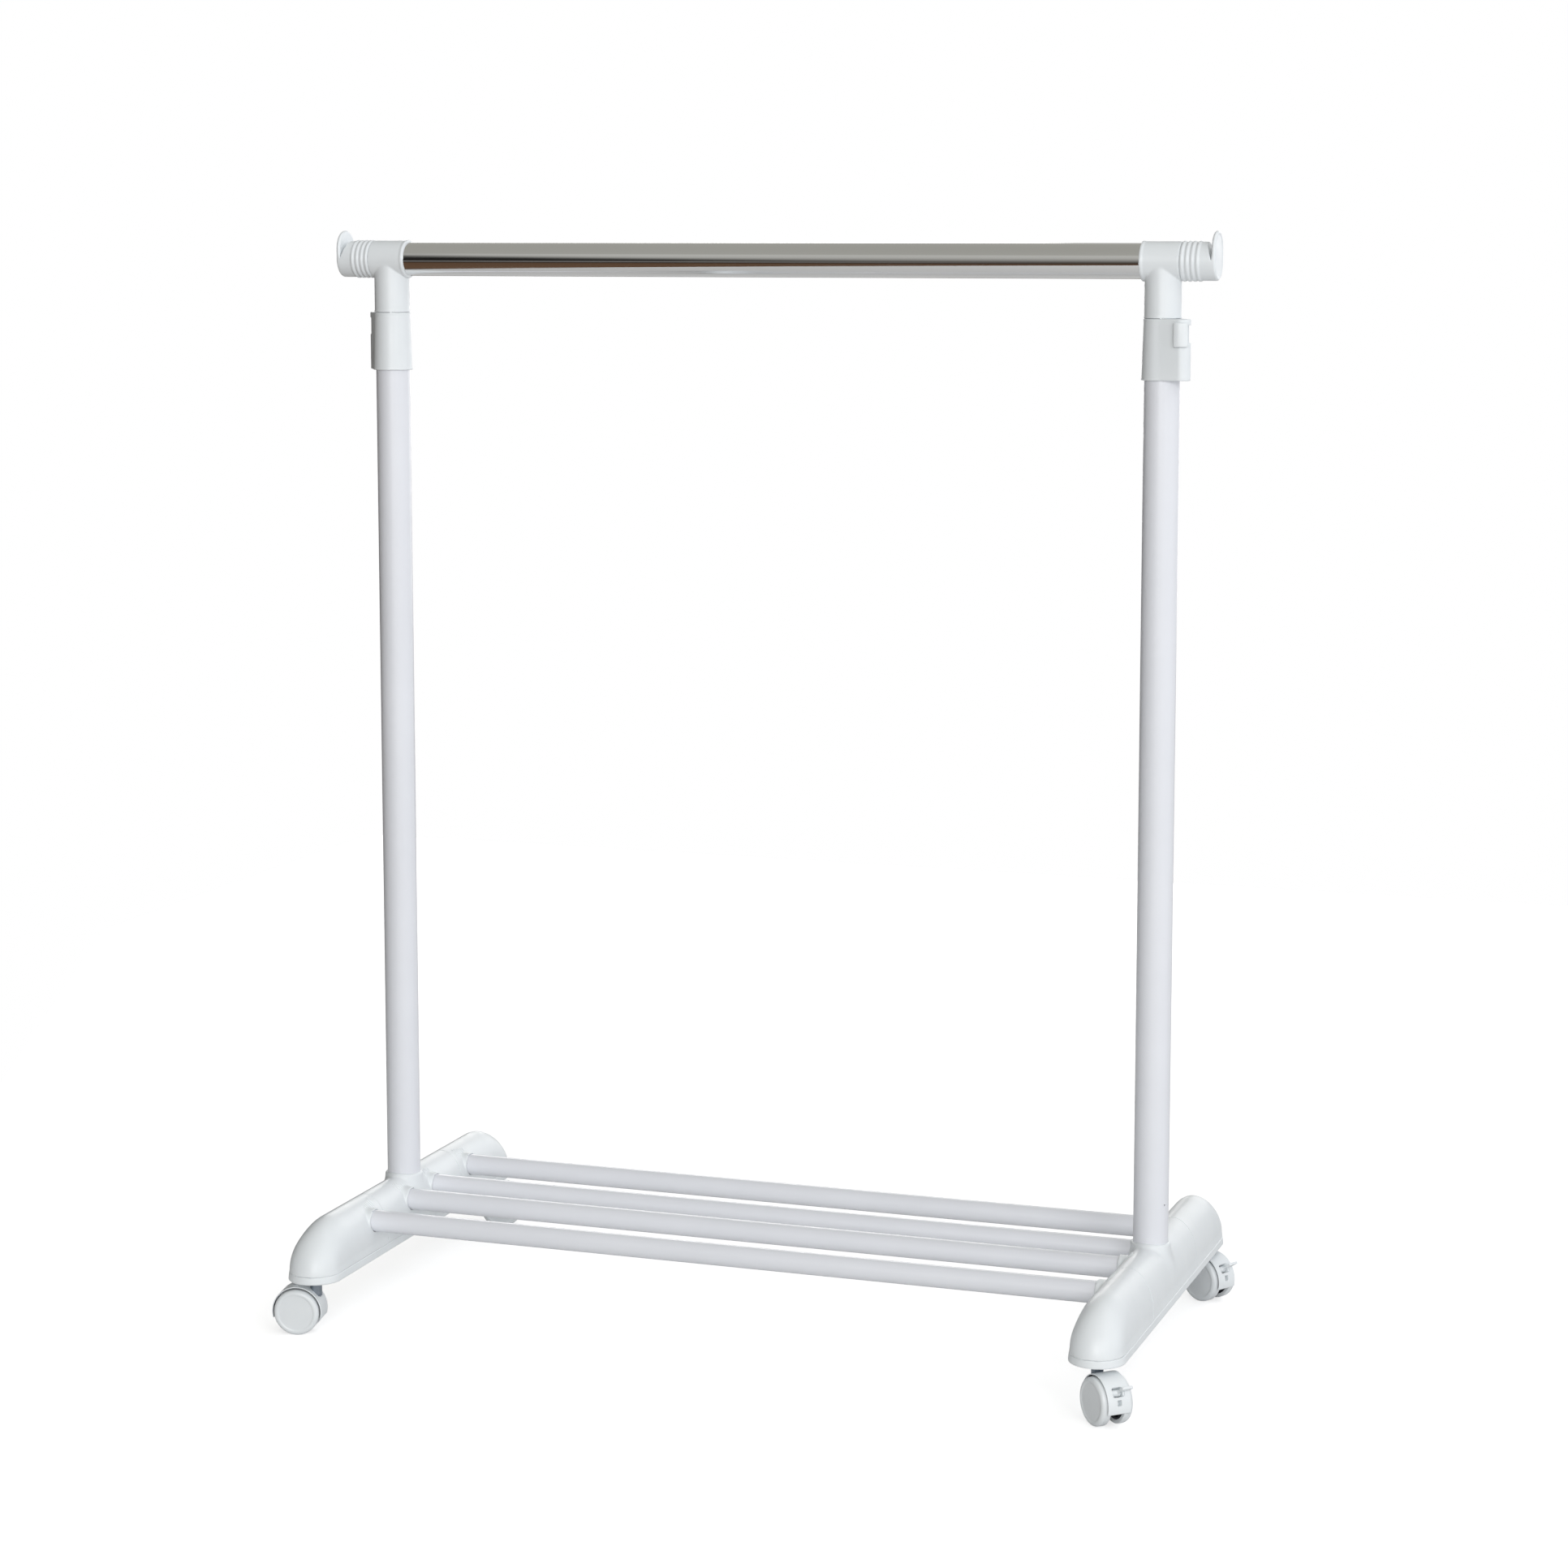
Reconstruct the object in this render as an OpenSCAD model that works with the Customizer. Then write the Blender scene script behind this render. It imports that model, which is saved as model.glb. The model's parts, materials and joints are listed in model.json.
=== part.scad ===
// Rolling clothes rack with a telescopic chrome hanging rail, four lower
// crossbars and four twin-wheel casters.
// X runs along the rail, -Y is the front, Z is up, and the floor is z = 0.

/* [Frame] */
// Distance between the axes of the two posts
post_spacing = 702; // [500:1:1000]
// Height of the hanging rail's axis at its lowest setting
rail_height = 931; // [700:1:1200]
// Outer diameter of the painted posts
post_d = 30; // [28:0.5:34]
// Outer diameter of the telescopic inner tubes
inner_d = 25; // [22:0.5:25]
// Outer diameter of the chrome hanging rail
rail_d = 29.6; // [26:0.2:30]
// Outer diameter of the lower crossbars
bar_d = 19; // [14:0.5:20]
// Height of the crossbars' axes
bar_z = 81; // [76:0.5:84]
// Distance of the two inner crossbars from the rail's plane
bar_y_inner = 26.7; // [24:0.1:34]
// Distance of the two outer crossbars from the rail's plane
bar_y_outer = 103.3; // [98:0.1:112]

/* [Feet] */
// Width of each foot across its underside
foot_w = 48; // [46:0.2:52]
// Height of the feet's underside
foot_z = 48; // [47:0.5:52]
// Height of the feet's crown
foot_top = 98; // [96:0.5:102]
// Distance from the rail's plane at which a foot's crown starts to fall
crown_y = 152; // [145:1:160]
// Half-length of the hub that holds the post
hub_half = 82; // [76:1:86]
// Wall thickness of the moulded foot shells
shell_wall = 2.6; // [2:0.1:3]

/* [Casters] */
// Wheel diameter
wheel_d = 40; // [36:0.5:41]
// Width across the two wheels
wheels_w = 29; // [28:0.5:32]
// Distance of the axle behind the swivel axis
trail = 15; // [12:0.5:17]
// Distance of the swivel axes from the rail's plane
caster_y = 181; // [176:1:190]
// Trailing directions in degrees: front left, front right, rear left, rear right
trail_angles = [191, -46, 30, -29.5]; // [-180:0.5:360]

/* [Height clamps] */
// Height of each lock collar
collar_h = 50.6; // [48:0.1:60]
// Direction in degrees in which the right collar's lever housing points
housing_angle = -33; // [-80:1:80]
// Distance of the lever pin from the post's axis
pin_offset = 22.3; // [22:0.1:24]
// Width of the lever's thumb paddle in degrees about its pin
paddle_sweep = 70; // [40:1:80]

/* [Hidden] */
$fn = 96;
ENDS = ["front_left", "front_right", "rear_left", "rear_right"];
SIDES = ["left", "right"];
BARS = ["front", "front_inner", "rear_inner", "rear"];
WHEELS = [1, 2];
BRAKED = [1, 3];

white = [0.93, 0.94, 0.94];
paint = [0.89, 0.89, 0.92];
chrome = [0.75, 0.75, 0.74];
steel = [0.45, 0.47, 0.5];
dark = [0.09, 0.1, 0.13];

post_x = post_spacing / 2;
fit = 0.05;
gap = 0.3;
cut = 1;

// Tubes
post_wall = 1.2;
inner_wall = 1;
rail_wall = 0.8;
bar_wall = 1;
post_r = post_d / 2;
post_bore_r = post_r - post_wall;
inner_r = inner_d / 2;
rail_r = rail_d / 2;
bar_r = bar_d / 2;
vent_r = 0.9;
vent_z = 133;
vent_angle = 6;

// Tees and end caps
tee_r = 16.3;
tee_rim_r = 16.7;
tee_rim = 2.2;
tee_in = 17.3;
tee_out = 16.4;
leg_r = 15.5;
leg_drop = 47;
leg_bore_top = 16.6;
cap_r = 16;
ring_r = 1.9;
ring_sink = 1.1;
ring_pitch = 4.4;
rings = 4;
cap_disc_x = 43.4;
cap_disc_t = 3.5;
cap_disc_rise = 9;
cap_disc_edge = 1.2;
rail_end = 30;
notch_w = 5.2;
notch_depth = 16;
notch_sink = 0.01;

// Lock collar, measured up from its own bottom
collar_top = rail_height - leg_drop - gap;
collar_z = collar_top - collar_h;
collar_r_top = 15.7;
collar_r_low = 17.1;
post_in_collar = 20;
post_top = collar_z + post_in_collar;
bush_r = 14.2;
collar_lip = 3;
collar_play = 0.4;
housing_r = 8;
housing_lip = 4.9;
slot_h = 14.5;
slot_top = collar_h - housing_lip;
slot_low = slot_top - slot_h;
pocket_h = 22;
pocket_wall = 2;
pin_r = 1.5;
pin_below = 8;
pad_w = 7.2;
cam_r = 5.2;
cam_throw = 0.35;
cam_room = 5.9;
slot_start = 23;
lever_angle = -49;
arm_t = 4;
paddle_in = 8.7;
paddle_out = 11.2;
paddle_h = 20.2;
paddle_top = collar_h - 2.65;

// Inner tubes
inner_top = rail_height - leg_bore_top;
inner_low = 76;
guide_h = 24;
guide_lip = 2;
guide_r = post_bore_r - fit;

// Feet
cover_h = 6.8;
cover_z = foot_z + cover_h;
cover_t = 2.4;
foot_r = foot_w / 2;
flank_in = 1.6;
arch_z = 62;
arch_r = foot_r - flank_in;
arch_h = foot_top - arch_z;
foot_half = caster_y + foot_r;
nose_low = foot_z + 1;
nose_steps = 9;
arch_steps = 24;
nose_tip = 0.35;
seam = 0.3;
tongue = 8;
tongue_gap = 0.2;
tongue_t = 1.8;
post_seat = 64;
seat_r = 17.6;
seat_top = 92;
collarette_top = 100.5;
collarette_rim = 0.8;
cup_r = 11;
cup_out = 20.4;
cup_rim = 1;
bar_end = 9;
cup_end = 7;
screw_y = 140;
screw_r = 2;
screw_l = 20;
screw_head_r = 4;
screw_head_h = 2.6;
screw_slot = 1.6;
screw_boss_r = 5.5;
stem_r = 4;
stem_neck_r = 5.1;
stem_top = 78;
stem_low = 23;
stem_tip = 1.5;
stem_tip_r = 2.8;
neck_low = 33;
socket_r = 6.5;
socket_top = 81;
socket_boss_r = 9;

// Casters, in the frame of each swivel: +X trails, Y is the axle's direction
wheel_r = wheel_d / 2;
wheel_edge = 3;
wheel_face = 2;
wheel_in = 6.2;
wheel_out = wheels_w / 2;
tyre_wall = 3.4;
core_back = 0.6;
core_web = 1.8;
core_hub_r = 4.6;
core_rim_t = 1.6;
rib_t = 1.1;
rib_root = 0.5;
ribs = 12;
axle_r = 2;
web_half = 5.6;
hood_half = 10.5;
hood_in = wheel_r + 0.7;
hood_out = wheel_r + 2;
hood_low = 14;
web_low = 15;
axle_boss_r = 5;
slot_angle = 34;
brake_pivot = 16.4;
brake_pin_r = 1.5;
brake_half = 3.9;
brake_hub_r = 3;
brake_room = 4.6;
brake_tab_t = 1.8;
brake_arm_side = 0.8;
brake_tab_in = 7;
brake_tab_l = 14;
brake_tab_side = 10.6;
brake_slot_half = 5.8;
brake_slot_sink = 0.2;
brake_slot_up = 3.2;
brake_slot_down = 4.4;
window_w = 3.8;
window_h = 4.8;
window_angle = 9;

NODES = concat(
    ["hanging_rail"],
    [for (s = SIDES) str(s, "_tee")],
    [for (s = SIDES) str(s, "_end_cap")],
    [for (s = SIDES) str(s, "_inner_tube")],
    ["inner_tube_guides"],
    [for (s = SIDES) str(s, "_post")],
    [for (s = SIDES) str(s, "_lock_collar")],
    ["collar_bushes", "lock_pads"],
    [for (s = SIDES) str(s, "_clamp_lever")],
    ["lever_pins"],
    [for (s = SIDES) str(s, "_foot_hub")],
    [for (e = ENDS) str(e, "_toe")],
    ["foot_covers"],
    [for (b = BARS) str(b, "_crossbar")],
    ["caster_sockets", "foot_screws"],
    [for (e = ENDS) str(e, "_hood")],
    [for (e = ENDS) str(e, "_stem")],
    [for (e = ENDS) str(e, "_axle")],
    [for (e = ENDS, w = WHEELS) str(e, "_wheel_", w)],
    [for (e = ENDS, w = WHEELS) str(e, "_core_", w)],
    [for (b = BRAKED) str(ENDS[b], "_brake")]
);
node = "all";

function shown(name) = node == "all" || node == name;
function side_of(i) = i == 0 ? -1 : 1;
function end_side(i) = i % 2 == 0 ? -1 : 1;
function end_dir(i) = i < 2 ? -1 : 1;

module tube(r, wall, h) {
    difference() {
        cylinder(r = r, h = h);
        translate([0, 0, -cut]) cylinder(r = r - wall, h = h + 2 * cut);
    }
}

module at_post(side) {
    translate([side * post_x, 0, 0]) children();
}

module along_x() {
    rotate([0, 90, 0]) children();
}

// Outboard is +X for children, whichever side they are placed on.
module outboard(side) {
    at_post(side) mirror([side < 0 ? 1 : 0, 0, 0]) children();
}

// The right collar's lever housing points to housing_angle, and the left
// collar is the same part turned half a turn.
module at_collar(side) {
    at_post(side) translate([0, 0, collar_z])
        rotate([0, 0, housing_angle + (side < 0 ? 180 : 0)]) children();
}

// ---------- hanging rail, tees and end caps ----------

module hanging_rail() {
    length = post_spacing + 2 * rail_end;
    color(chrome)
        translate([-length / 2, 0, rail_height]) along_x() tube(rail_r, rail_wall, length);
}

module tee(side) {
    color(white) outboard(side) translate([0, 0, rail_height])
        difference() {
            union() {
                translate([-tee_in, 0, 0]) along_x() cylinder(r = tee_r, h = tee_in + tee_out);
                translate([-tee_in, 0, 0]) along_x() cylinder(r = tee_rim_r, h = tee_rim);
                translate([0, 0, -leg_drop]) cylinder(r = leg_r, h = leg_drop);
            }
            translate([-tee_in - cut, 0, 0]) along_x()
                cylinder(r = rail_r, h = tee_in + tee_out + 2 * cut);
            translate([0, 0, -leg_drop - cut])
                cylinder(r = inner_r, h = leg_drop - leg_bore_top + cut);
        }
}

// A disc with a rounded rim, lying on z = 0.
module rounded_disc(r, t, edge) {
    rotate_extrude() {
        square([r - edge, t]);
        translate([0, edge]) square([r, t - 2 * edge]);
        for (z = [edge, t - edge]) translate([r - edge, z]) circle(r = edge, $fn = 32);
    }
}

module end_cap(side) {
    length = cap_disc_x - tee_out;
    color(white) outboard(side) translate([0, 0, rail_height])
        difference() {
            union() {
                translate([tee_out, 0, 0]) along_x() cylinder(r = cap_r, h = length + cut);
                for (i = [0 : rings - 1])
                    translate([tee_out + ring_r + i * ring_pitch, 0, 0]) along_x()
                        rotate_extrude() translate([cap_r - ring_sink, 0]) circle(r = ring_r, $fn = 32);
                for (z = [0, cap_disc_rise])
                    translate([cap_disc_x, 0, z]) along_x()
                        rounded_disc(cap_r, cap_disc_t, cap_disc_edge);
                translate([cap_disc_x, -cap_r, 0]) cube([cap_disc_t, 2 * cap_r, cap_disc_rise]);
            }
            translate([tee_out - cut, 0, 0]) along_x()
                cylinder(r = rail_r, h = rail_end - tee_out + cut);
            translate([cap_disc_x, -cap_r - cut, cap_r + gap])
                rotate([-90, 0, 0]) linear_extrude(2 * cap_r + 2 * cut)
                    polygon([[notch_sink, -cut], [notch_sink, notch_depth], [-notch_w, -cut]]);
        }
}

// ---------- telescopic posts and their height clamps ----------

module inner_tube(side) {
    color(chrome) at_post(side) translate([0, 0, inner_low])
        tube(inner_r, inner_wall, inner_top - inner_low);
}

module inner_tube_guides() {
    color(white) for (side = [-1, 1])
        at_post(side) translate([0, 0, inner_low - guide_lip])
            difference() {
                cylinder(r = guide_r, h = guide_h);
                translate([0, 0, guide_lip]) cylinder(r = inner_r, h = guide_h);
                translate([0, 0, -cut]) cylinder(r = inner_r - 2 * inner_wall, h = guide_h);
            }
}

module post(side) {
    color(paint) at_post(side)
        difference() {
            translate([0, 0, post_seat]) tube(post_r, post_wall, post_top - post_seat);
            translate([0, 0, vent_z])
                rotate([0, 0, housing_angle + vent_angle + (side < 0 ? 180 : 0)]) along_x()
                    cylinder(r = vent_r, h = post_d, $fn = 24);
        }
}

// The housing in plan: a round end about the pin, with flanks that run
// tangent from it to a circle about the post's axis.
module housing_outline(r) {
    lean = acos((collar_r_top - r) / pin_offset);
    translate([pin_offset, 0]) circle(r = r);
    polygon([
        for (turn = [-lean, lean], end = turn < 0 ? [0, 1] : [1, 0])
            end == 0
                ? collar_r_top * [cos(turn), sin(turn)]
                : [pin_offset, 0] + r * [cos(turn), sin(turn)]
    ]);
}

module lock_collar(side) {
    color(white) at_collar(side)
        difference() {
            union() {
                cylinder(r1 = collar_r_low, r2 = collar_r_top, h = collar_h);
                difference() {
                    linear_extrude(collar_h) housing_outline(housing_r);
                    translate([slot_start, -collar_r_low, slot_low])
                        cube([pin_offset, 2 * collar_r_low, slot_h]);
                    translate([pin_offset, 0, slot_low]) cylinder(r = cam_room, h = slot_h);
                    translate([pin_offset, 0, -cut]) cylinder(r = housing_r - pocket_wall, h = pocket_h + cut);
                }
            }
            translate([0, 0, -cut]) cylinder(r = post_r, h = post_in_collar + cut);
            cylinder(r = bush_r, h = collar_h - collar_lip);
            cylinder(r = inner_r + collar_play, h = collar_h + cut);
            translate([0, -pad_w / 2 - gap, slot_low])
                cube([collar_r_low + cut, pad_w + 2 * gap, slot_h]);
            translate([pin_offset, 0, slot_low - pin_below])
                cylinder(r = pin_r, h = collar_h);
        }
}

module collar_bushes() {
    color(white) for (side = [-1, 1])
        at_collar(side)
            difference() {
                translate([0, 0, post_in_collar])
                    cylinder(r = bush_r, h = collar_h - collar_lip - post_in_collar);
                cylinder(r = inner_r + fit, h = collar_h);
                translate([0, -pad_w / 2 - gap, slot_low - gap])
                    cube([collar_r_low, pad_w + 2 * gap, slot_h]);
            }
}

// The pad that the lever's cam presses against the inner tube.
module lock_pads() {
    reach = pin_offset - cam_r - cam_throw - fit;
    color(dark) for (side = [-1, 1])
        at_collar(side)
            difference() {
                translate([0, -pad_w / 2, slot_low + gap])
                    cube([reach, pad_w, slot_h - 3 * gap]);
                cylinder(r = inner_r + fit, h = collar_h);
            }
}

module lever_pins() {
    color(steel) for (side = [-1, 1])
        at_collar(side) translate([pin_offset, 0, slot_low - pin_below])
            cylinder(r = pin_r, h = slot_h + pin_below + housing_lip);
}

module clamp_lever(side) {
    color(white) at_collar(side) translate([pin_offset, 0, 0])
        difference() {
            union() {
                translate([-cam_throw, 0, slot_low + gap]) cylinder(r = cam_r, h = slot_h - 2 * gap);
                rotate([0, 0, lever_angle]) translate([arm_t / 2, -arm_t / 2, slot_low + 2 * gap])
                    cube([paddle_in + cut - arm_t / 2, arm_t, slot_h - 4 * gap]);
                translate([0, 0, paddle_top - paddle_h])
                    rotate([0, 0, lever_angle - paddle_sweep / 2])
                        rotate_extrude(angle = paddle_sweep)
                            translate([paddle_in, 0]) square([paddle_out - paddle_in, paddle_h]);
            }
            cylinder(r = pin_r + fit, h = collar_h);
        }
}

// ---------- feet ----------

// Cross-section of a foot's upper shell: flanks that lean in a little, and
// an elliptic arch over them. The inset is the wall thickness.
module arch(inset) {
    translate([0, arch_z]) scale([arch_r - inset, arch_h - inset]) circle(r = 1);
    polygon([
        [-foot_r + inset, foot_z], [foot_r - inset, foot_z],
        [arch_r - inset, arch_z], [-arch_r + inset, arch_z]
    ]);
}

// The arch from y0 to y1, along Y.
module arch_bar(inset, y0, y1) {
    translate([0, y1, 0]) rotate([90, 0, 0]) linear_extrude(y1 - y0) arch(inset);
}

// Half-width of the nose's round plan, and height of its falling crown, as
// shares of the full section at distance y from the rail's plane.
function nose_width(y) = y < caster_y ? 1 : sqrt(1 - pow((y - caster_y) / (foot_half - caster_y), 2));
function nose_height(y) = y < crown_y ? 1 : sqrt(1 - pow((y - crown_y) / (foot_half - crown_y), 2));

// The section at y, from one bottom corner over the crown to the other,
// scaled to the nose. The end's inset keeps a wall's thickness there too.
function nose_ring(inset, y) = [
    for (p = concat(
        [[foot_r - inset, nose_low]],
        [for (k = [0 : arch_steps]) [
            (arch_r - inset) * cos(180 * k / arch_steps),
            arch_z + (arch_h - inset) * sin(180 * k / arch_steps)
        ]],
        [[inset - foot_r, nose_low]]
    )) [p[0] * nose_width(y), y - inset, nose_low + (p[1] - nose_low) * nose_height(y)]
];

// A toe's outside, from y0 to the tip, or its inside at a wall's inset.
module toe_body(inset, y0) {
    span = foot_half - nose_tip - crown_y;
    stations = concat([y0 + inset], [for (k = [0 : nose_steps]) crown_y + span * sin(90 * k / nose_steps)]);
    n = arch_steps + 3;
    last = len(stations) - 1;
    sides = [
        for (i = [0 : last - 1], j = [0 : n - 1], half = [0, 1])
            half == 0
                ? [i * n + j, i * n + (j + 1) % n, (i + 1) * n + j]
                : [(i + 1) * n + j, i * n + (j + 1) % n, (i + 1) * n + (j + 1) % n]
    ];
    ends = [[for (j = [0 : n - 1]) n - 1 - j], [for (j = [0 : n - 1]) last * n + j]];
    polyhedron([for (y = stations) each nose_ring(inset, y)], concat(sides, ends));
}

module above_cover() {
    translate([-foot_w, -2 * foot_half, cover_z]) cube([2 * foot_w, 4 * foot_half, collarette_top]);
}

// Solid of a crossbar's socket; inboard is +X here.
module cup(y) {
    translate([0, y, bar_z]) along_x() cylinder(r = cup_r, h = cup_out - cup_rim);
    translate([cup_out - cup_rim, y, bar_z]) along_x()
        cylinder(r1 = cup_r, r2 = cup_r - cup_rim, h = cup_rim);
}

module bar_bore(y) {
    translate([bar_end, y, bar_z]) along_x() cylinder(r = bar_r, h = cup_out);
}

module foot_hub(side) {
    color(white) at_post(side) mirror([side < 0 ? 0 : 1, 0, 0])
        difference() {
            intersection() {
                above_cover();
                union() {
                    difference() {
                        arch_bar(0, -hub_half + seam, hub_half - seam);
                        arch_bar(shell_wall, -hub_half, hub_half);
                    }
                    difference() {
                        union() {
                            arch_bar(shell_wall + tongue_gap, -hub_half - tongue, hub_half + tongue);
                            arch_bar(shell_wall / 2, -hub_half + 2 * seam, hub_half - 2 * seam);
                        }
                        arch_bar(shell_wall + tongue_gap + tongue_t, -foot_half, foot_half);
                        arch_bar(0, -hub_half + tongue, hub_half - tongue);
                    }
                    cylinder(r = seat_r, h = seat_top);
                    translate([0, 0, seat_top])
                        cylinder(r1 = seat_r, r2 = post_r + collarette_rim, h = collarette_top - seat_top);
                    for (y = [-1, 1]) difference() {
                        cup(y * bar_y_inner);
                        translate([-foot_w, -foot_half, 0]) cube([foot_w + cup_end, 2 * foot_half, foot_top]);
                    }
                }
            }
            translate([0, 0, post_seat]) cylinder(r = post_r, h = foot_top);
            translate([0, 0, foot_z]) cylinder(r = screw_r, h = foot_top);
            for (y = [-1, 1]) bar_bore(y * bar_y_inner);
        }
}

// A toe's socket for its outer crossbar.
module toe_cup() {
    difference() {
        cup(bar_y_outer);
        translate([-foot_w, 0, 0]) cube([foot_w + cup_end, foot_half, foot_top]);
    }
}

module toe(i) {
    color(white) at_post(end_side(i))
        mirror([end_side(i) < 0 ? 0 : 1, 0, 0]) mirror([0, end_dir(i) < 0 ? 1 : 0, 0])
            difference() {
                intersection() {
                    above_cover();
                    union() {
                        toe_body(0, hub_half);
                        toe_cup();
                    }
                }
                difference() {
                    toe_body(shell_wall, hub_half - cut - shell_wall);
                    translate([0, caster_y, 0]) cylinder(r = socket_boss_r, h = foot_top);
                    translate([0, screw_y, 0]) cylinder(r = screw_boss_r, h = foot_top);
                    toe_cup();
                }
                translate([0, caster_y, 0]) cylinder(r = socket_r, h = socket_top);
                translate([0, screw_y, 0]) cylinder(r = screw_r, h = foot_z + screw_l + cut);
                bar_bore(bar_y_outer);
            }
}

module foot_covers() {
    color(white) for (side = [-1, 1])
        at_post(side)
            difference() {
                translate([0, 0, foot_z]) linear_extrude(cover_h) cover_plan(0);
                difference() {
                    translate([0, 0, foot_z + cover_t]) linear_extrude(cover_h)
                        cover_plan(shell_wall);
                    for (y = [-screw_y, 0, screw_y])
                        translate([0, y, 0]) cylinder(r = screw_boss_r, h = cover_z);
                    for (y = [-caster_y, caster_y])
                        translate([0, y, 0]) cylinder(r = socket_boss_r, h = cover_z);
                }
                for (y = [-screw_y, 0, screw_y]) translate([0, y, foot_z - cut]) {
                    cylinder(r = screw_r, h = cover_h + 2 * cut);
                    cylinder(r = screw_head_r, h = screw_head_h + cut);
                }
                for (y = [-caster_y, caster_y])
                    translate([0, y, foot_z - cut]) cylinder(r = socket_r, h = cover_h + 2 * cut);
            }
}

module cover_plan(inset) {
    r = foot_r - inset;
    translate([-r, -caster_y]) square([2 * r, 2 * caster_y]);
    for (y = [-caster_y, caster_y]) translate([0, y]) circle(r = r);
}

module crossbar(i) {
    y = [-bar_y_outer, -bar_y_inner, bar_y_inner, bar_y_outer][i];
    length = post_spacing - 2 * bar_end;
    color(paint)
        translate([-length / 2, y, bar_z]) along_x() tube(bar_r, bar_wall, length);
}

module caster_sockets() {
    color(dark) for (i = [0 : 3])
        translate([end_side(i) * post_x, end_dir(i) * caster_y, foot_z])
            difference() {
                cylinder(r = socket_r, h = socket_top - foot_z);
                translate([0, 0, -cut]) cylinder(r = stem_r + fit, h = stem_top + gap - foot_z + cut);
            }
}

module foot_screws() {
    color(steel) for (side = [-1, 1], y = [-screw_y, 0, screw_y])
        at_post(side) translate([0, y, foot_z])
            difference() {
                union() {
                    cylinder(r = screw_head_r, h = screw_head_h);
                    cylinder(r = screw_r, h = y == 0 ? post_seat - foot_z : screw_l);
                }
                for (a = [0, 90]) rotate([0, 0, a])
                    translate([-screw_r, -screw_r / 4, -cut]) cube([2 * screw_r, screw_r / 2, screw_slot + cut]);
            }
}

// ---------- casters ----------

module at_caster(i) {
    translate([end_side(i) * post_x, end_dir(i) * caster_y, 0])
        rotate([0, 0, trail_angles[i]]) children();
}

// The axle's middle, with Z along the axle, X trailing and -Y up.
module at_axle() {
    translate([trail, 0, wheel_r]) rotate([-90, 0, 0]) children();
}

module hood(i) {
    braked = i == BRAKED[0] || i == BRAKED[1];
    color(white) at_caster(i)
        difference() {
            union() {
                intersection() {
                    at_axle() difference() {
                        translate([0, 0, -hood_half]) cylinder(r = hood_out, h = 2 * hood_half);
                        translate([0, 0, -hood_half - cut]) cylinder(r = hood_in, h = 2 * hood_half + 2 * cut);
                    }
                    translate([trail - hood_out, -wheels_w, hood_low])
                        cube([2 * hood_out, 2 * wheels_w, hood_out + wheel_r]);
                }
                intersection() {
                    at_axle() translate([0, 0, -web_half]) cylinder(r = hood_in + cut, h = 2 * web_half);
                    translate([trail - hood_out, -wheels_w, web_low])
                        cube([2 * hood_out, 2 * wheels_w, hood_out + wheel_r]);
                }
                at_axle() translate([0, 0, -web_half]) cylinder(r = axle_boss_r, h = 2 * web_half);
            }
            at_axle() translate([0, 0, -wheels_w]) cylinder(r = axle_r, h = 2 * wheels_w);
            translate([0, 0, stem_low]) cylinder(r = stem_r, h = foot_z);
            if (braked) brake_room();
        }
}

// What a braked hood leaves out for its lever: a slot through the shell, a
// pocket in the web, the bearing of the lever's trunnions and a small window.
module brake_room() {
    at_axle() rotate([0, 0, -slot_angle]) {
        translate([brake_pivot - brake_room, -brake_slot_up, -brake_half - gap])
            cube([hood_out, brake_slot_up + brake_slot_down, 2 * (brake_half + gap)]);
        translate([hood_in - brake_slot_sink, -brake_slot_up, -brake_slot_half])
            cube([hood_out, brake_slot_up + brake_slot_down, 2 * brake_slot_half]);
        translate([brake_pivot, 0, -web_half + gap])
            cylinder(r = brake_pin_r + fit, h = 2 * (web_half - gap));
        translate([brake_pivot, 0, -brake_half - gap])
            cylinder(r = brake_hub_r + gap, h = 2 * (brake_half + gap));
    }
    at_axle() rotate([0, 0, -window_angle])
        translate([hood_in - cut, -window_h / 2, -window_w / 2])
            cube([hood_out, window_h, window_w]);
}

// The arm leaves the slot beside the middle, and its tab widens to one side.
module brake(i) {
    color(white) at_caster(i) at_axle() rotate([0, 0, -slot_angle])
        translate([brake_pivot, 0, 0]) {
            translate([0, 0, -brake_half]) cylinder(r = brake_hub_r, h = 2 * brake_half);
            translate([0, 0, -web_half + 2 * gap]) cylinder(r = brake_pin_r, h = 2 * (web_half - 2 * gap));
            translate([0, -brake_tab_t / 2, brake_arm_side])
                cube([brake_tab_l, brake_tab_t, brake_half - brake_arm_side]);
            translate([brake_tab_in, -brake_tab_t / 2, brake_arm_side])
                cube([brake_tab_l - brake_tab_in, brake_tab_t, brake_tab_side - brake_arm_side]);
        }
}

module stem(i) {
    color(steel) at_caster(i) {
        translate([0, 0, stem_low]) cylinder(r = stem_r, h = stem_top - stem_tip - stem_low);
        translate([0, 0, stem_top - stem_tip]) cylinder(r1 = stem_r, r2 = stem_tip_r, h = stem_tip);
        difference() {
            translate([0, 0, neck_low]) cylinder(r = stem_neck_r, h = foot_z - gap - neck_low);
            at_axle() translate([0, 0, -wheels_w]) cylinder(r = hood_out, h = 2 * wheels_w);
        }
    }
}

module axle(i) {
    half = wheel_out - wheel_face - gap;
    color(steel) at_caster(i) at_axle()
        translate([0, 0, -half]) cylinder(r = axle_r, h = 2 * half);
}

// One wheel's outboard direction is +Z for children.
module at_wheel(i, w) {
    at_caster(i) at_axle() mirror([0, 0, w == 1 ? 0 : 1]) children();
}

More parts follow.
